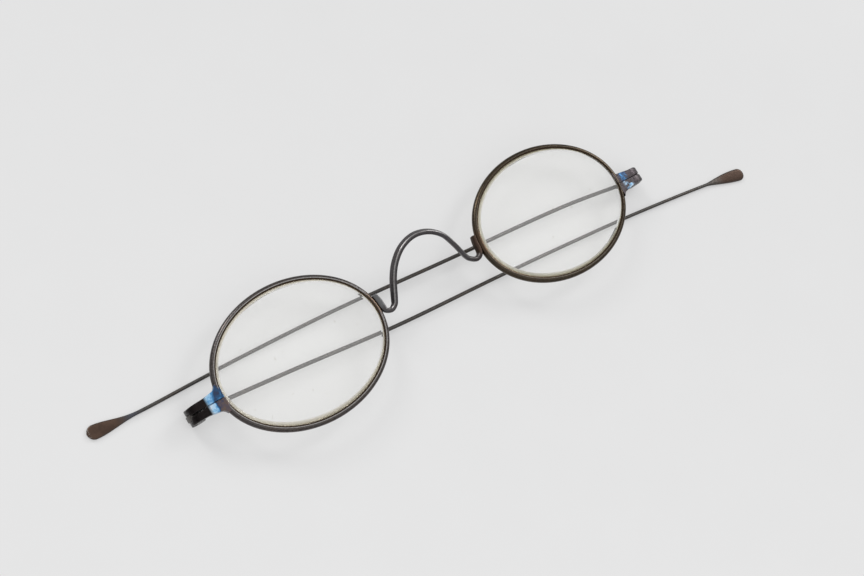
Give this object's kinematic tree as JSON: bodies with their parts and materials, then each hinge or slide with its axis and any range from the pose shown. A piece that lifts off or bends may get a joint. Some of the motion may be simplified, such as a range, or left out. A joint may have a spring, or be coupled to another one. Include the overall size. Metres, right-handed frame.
{
  "type": "oval-lens spectacles",
  "caption": "Antique folding spectacles with oval lenses in wire rims, a saddle bridge of flattened wire and thin straight temples ending in flat paddles.",
  "frame": {"origin": "on the resting plane, below the middle between the lenses, level with the lens centres", "axes": "+X to the viewer's right seen from the front (the wearer's left), +Y up to the brow, +Z out of the front of the lenses"},
  "size_m": [0.1576, 0.0292, 0.0091],
  "materials": {
    "rim": "dark patinated steel",
    "bridge": "dark patinated steel",
    "end_piece": "heat-blued steel, worn",
    "screw": "dark steel",
    "temple": "dark patinated steel, browner on the paddles",
    "lens": "clear polished glass with a ground bevel"
  },
  "bodies": {
    "front": {"right_rim": "rim", "left_rim": "rim", "right_lens": "lens", "left_lens": "lens", "bridge": "bridge", "right_upper_end_piece": "end_piece", "right_lower_end_piece": "end_piece", "left_upper_end_piece": "end_piece", "left_lower_end_piece": "end_piece", "right_hinge_screw": "screw", "left_hinge_screw": "screw"},
    "right_temple": {"right_temple": "temple"},
    "left_temple": {"left_temple": "temple"}
  },
  "joints": [
    {"name": "right_temple_hinge", "type": "hinge", "parent": "front", "child": "right_temple", "pos_m": [-0.0557, -0.00035, 0.00145], "axis": [0, 1, 0], "range_deg": [0, 92]},
    {"name": "left_temple_hinge", "type": "hinge", "parent": "front", "child": "left_temple", "pos_m": [0.0557, -0.00195, 0.00145], "axis": [0, -1, 0], "range_deg": [0, 92]}
  ]
}
